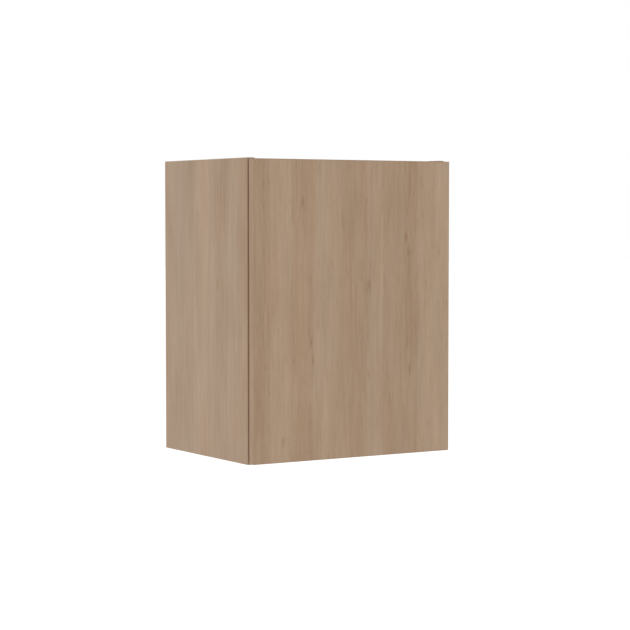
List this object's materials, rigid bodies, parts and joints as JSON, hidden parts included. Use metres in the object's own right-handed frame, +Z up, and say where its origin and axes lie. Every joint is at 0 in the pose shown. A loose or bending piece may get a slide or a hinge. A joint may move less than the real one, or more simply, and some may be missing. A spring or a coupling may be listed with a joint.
{
  "type": "hanging wall cabinet",
  "caption": "Slab-door wall cabinet in wood decor with a loose shelf, a concealed-hinge door opened by a push latch, and rail hangers at the back.",
  "frame": {"origin": "in the plane of the wall, half-way along the width, level with the underside of the cabinet", "axes": "+Z up, +Y into the wall, the door faces -Y, +X to the right as one faces the door"},
  "size_m": [0.45, 0.35, 0.576],
  "materials": {
    "board_decor": "melamine wood decor, fine-pored satin, light brown",
    "edge_band": "ABS edge band in the same decor, satin",
    "hardboard": "thin hardboard back with a printed face",
    "nickel_steel": "nickel-plated pressed steel",
    "zinc_steel": "bright zinc-plated steel",
    "grey_plastic": "moulded light grey plastic",
    "white_plastic": "moulded off-white plastic",
    "magnet": "dark plated magnet"
  },
  "bodies": {
    "carcass": {"adjust_screw_lower": "nickel_steel", "adjust_screw_upper": "nickel_steel", "arm_screw_lower": "nickel_steel", "arm_screw_upper": "nickel_steel", "back_panel": "hardboard", "bottom_panel": "board_decor", "edge_band_bottom": "edge_band", "edge_band_left": "edge_band", "edge_band_right": "edge_band", "edge_band_shelf": "edge_band", "edge_band_top": "edge_band", "hanger_case_left": "zinc_steel", "hanger_case_right": "zinc_steel", "hanger_cover_left": "white_plastic", "hanger_cover_right": "white_plastic", "hanger_depth_screw_left": "zinc_steel", "hanger_depth_screw_right": "zinc_steel", "hanger_height_screw_left": "zinc_steel", "hanger_height_screw_right": "zinc_steel", "hanger_hook_left": "zinc_steel", "hanger_hook_right": "zinc_steel", "hanger_screw_left_1": "zinc_steel", "hanger_screw_left_2": "zinc_steel", "hanger_screw_right_1": "zinc_steel", "hanger_screw_right_2": "zinc_steel", "hinge_arm_lower": "nickel_steel", "hinge_arm_upper": "nickel_steel", "hinge_plate_lower": "nickel_steel", "hinge_plate_upper": "nickel_steel", "latch_housing": "grey_plastic", "latch_screw_a": "zinc_steel", "latch_screw_b": "zinc_steel", "plate_screw_lower_a": "nickel_steel", "plate_screw_lower_b": "nickel_steel", "plate_screw_upper_a": "nickel_steel", "plate_screw_upper_b": "nickel_steel", "shelf": "board_decor", "shelf_pin_1": "nickel_steel", "shelf_pin_2": "nickel_steel", "shelf_pin_3": "nickel_steel", "shelf_pin_4": "nickel_steel", "side_panel_left": "board_decor", "side_panel_right": "board_decor", "top_panel": "board_decor"},
    "door": {"cup_screw_lower_a": "nickel_steel", "cup_screw_lower_b": "nickel_steel", "cup_screw_upper_a": "nickel_steel", "cup_screw_upper_b": "nickel_steel", "door_band_bottom": "edge_band", "door_band_left": "edge_band", "door_band_right": "edge_band", "door_band_top": "edge_band", "door_panel": "board_decor", "hinge_cup_lower": "nickel_steel", "hinge_cup_upper": "nickel_steel", "hinge_pin_lower": "nickel_steel", "hinge_pin_upper": "nickel_steel", "latch_striker": "zinc_steel"},
    "plunger": {"latch_plunger": "grey_plastic", "latch_magnet": "magnet"}
  },
  "joints": [
    {"name": "door_swing", "type": "hinge", "parent": "carcass", "child": "door", "pos_m": [0.2162, -0.341, 0.288], "axis": [0, 0, 1], "range_deg": [0, 95]},
    {"name": "latch_stroke", "type": "slide", "parent": "carcass", "child": "plunger", "axis": [0, -1, 0], "range_m": [0, 0.02]}
  ],
  "couplings": [
    {"joint": "latch_stroke", "follows": "door_swing", "m_per_rad": 0.012}
  ]
}
